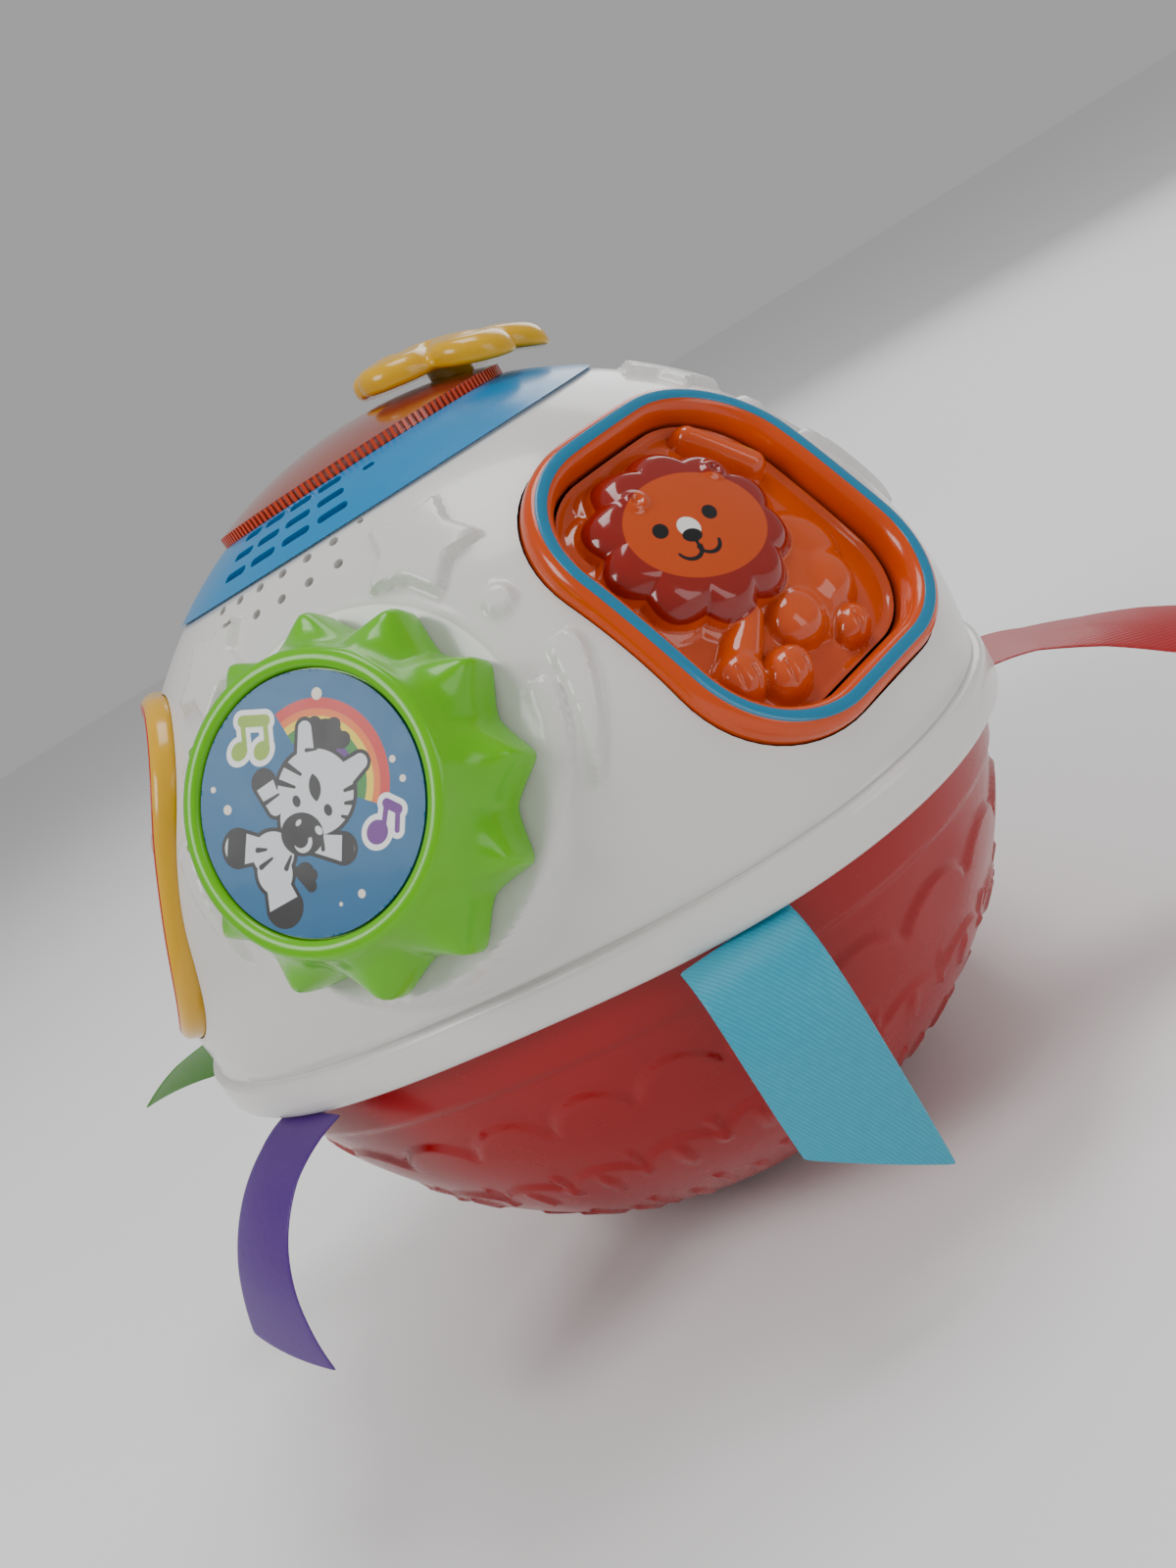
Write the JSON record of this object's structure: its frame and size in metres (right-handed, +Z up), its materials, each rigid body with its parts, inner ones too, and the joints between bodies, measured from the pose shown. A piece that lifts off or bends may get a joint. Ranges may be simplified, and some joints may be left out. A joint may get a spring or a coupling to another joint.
{
  "type": "baby activity ball",
  "caption": "Motorised ball-shaped baby toy with a light dome, toothed spinner, three animal press panels and satin ribbons round its waist.",
  "frame": {"origin": "centre of the flat under the battery door, on which the ball rests", "axes": "+Z up along the ball axis through the flower button, -Y towards the spinner, +X to the lion panel side"},
  "size_m": [0.2374, 0.1872, 0.1659],
  "materials": {
    "white_plastic": "glossy",
    "red_plastic": "glossy",
    "blue_plastic": "glossy",
    "clear_orange": "clear gloss",
    "yellow_plastic": "glossy",
    "green_plastic": "glossy",
    "label_print": "printed gloss",
    "grey_plastic": "matte",
    "steel": "satin",
    "black_plastic": "matte",
    "orange_plastic": "glossy",
    "print_orange": "printed gloss",
    "teal_plastic": "glossy",
    "lilac_plastic": "glossy",
    "clear_teal": "clear gloss",
    "print_teal": "printed gloss",
    "clear_yellow": "clear gloss",
    "print_yellow": "printed gloss",
    "rubber": "matte",
    "cell_can": "printed sleeve",
    "gear_plastic": "satin",
    "circuit_board": "satin",
    "led_plastic": "clear gloss",
    "ribbon_aqua": "satin",
    "ribbon_red": "satin",
    "ribbon_orange": "satin",
    "ribbon_yellow": "satin",
    "ribbon_green": "satin",
    "ribbon_purple": "satin"
  },
  "bodies": {
    "ball": {"battery_box": "grey_plastic", "battery_cell_1": "cell_can", "battery_cell_2": "cell_can", "battery_cell_3": "cell_can", "battery_contacts": "steel", "battery_door": "red_plastic", "chassis": "grey_plastic", "door_screw": "steel", "elephant_stripe": "lilac_plastic", "elephant_switch": "black_plastic", "elephant_trim": "teal_plastic", "flower_switch": "black_plastic", "light_board": "circuit_board", "light_dome": "clear_orange", "light_leds": "led_plastic", "light_tower": "white_plastic", "lion_stripe": "blue_plastic", "lion_switch": "black_plastic", "lion_trim": "orange_plastic", "lower_shell": "red_plastic", "main_board": "circuit_board", "mode_switch": "white_plastic", "monkey_stripe": "yellow_plastic", "monkey_switch": "black_plastic", "monkey_trim": "yellow_plastic", "motor": "steel", "ribbon_aqua": "ribbon_aqua", "ribbon_green": "ribbon_green", "ribbon_orange": "ribbon_orange", "ribbon_purple": "ribbon_purple", "ribbon_red": "ribbon_red", "ribbon_yellow": "ribbon_yellow", "shell_screws": "steel", "speaker": "black_plastic", "speaker_bracket": "grey_plastic", "spinner_switch": "black_plastic", "top_band": "blue_plastic", "upper_shell": "white_plastic"},
    "spinner": {"spinner_knob": "green_plastic", "spinner_label": "label_print", "spinner_shaft": "grey_plastic", "spinner_washer": "grey_plastic", "spinner_cam": "grey_plastic", "spinner_screw": "steel"},
    "lion_press": {"lion_button": "clear_orange", "lion_face": "print_orange", "lion_pad": "rubber"},
    "elephant_press": {"elephant_button": "clear_teal", "elephant_face": "print_teal", "elephant_pad": "rubber"},
    "monkey_press": {"monkey_button": "clear_yellow", "monkey_face": "print_yellow", "monkey_pad": "rubber"},
    "flower": {"flower_button": "yellow_plastic"},
    "mode": {"mode_knob": "grey_plastic"},
    "weight": {"drive_gear": "gear_plastic", "weight_axle": "steel", "eccentric_weight": "steel"},
    "pinion": {"motor_pinion": "gear_plastic", "motor_spindle": "steel"}
  },
  "joints": [
    {"name": "spinner_spin", "type": "hinge", "parent": "ball", "child": "spinner", "pos_m": [0, 0, 0.0746], "axis": [0, -0.891, 0.454], "continuous": true},
    {"name": "lion_press", "type": "slide", "parent": "ball", "child": "lion_press", "axis": [-0.7481, 0.4766, -0.4617], "range_m": [0, 0.0022], "stiffness_N_per_m": 600},
    {"name": "elephant_press", "type": "slide", "parent": "ball", "child": "elephant_press", "axis": [0, -0.887, -0.4617], "range_m": [0, 0.0022], "stiffness_N_per_m": 600},
    {"name": "monkey_press", "type": "slide", "parent": "ball", "child": "monkey_press", "axis": [0.7481, 0.4766, -0.4617], "range_m": [0, 0.0022], "stiffness_N_per_m": 600},
    {"name": "flower_press", "type": "slide", "parent": "ball", "child": "flower", "axis": [0, 0, -1], "range_m": [0, 0.0016], "stiffness_N_per_m": 600},
    {"name": "mode_slide", "type": "slide", "parent": "ball", "child": "mode", "axis": [-1, 0, 0], "range_m": [-0.003, 0.003]},
    {"name": "weight_spin", "type": "hinge", "parent": "ball", "child": "weight", "pos_m": [0, 0, 0.048], "axis": [1, 0, 0], "continuous": true},
    {"name": "pinion_spin", "type": "hinge", "parent": "ball", "child": "pinion", "pos_m": [0, 0.02435, 0.048], "axis": [1, 0, 0], "continuous": true}
  ],
  "couplings": [
    {"joint": "pinion_spin", "follows": "weight_spin", "ratio": -3}
  ]
}
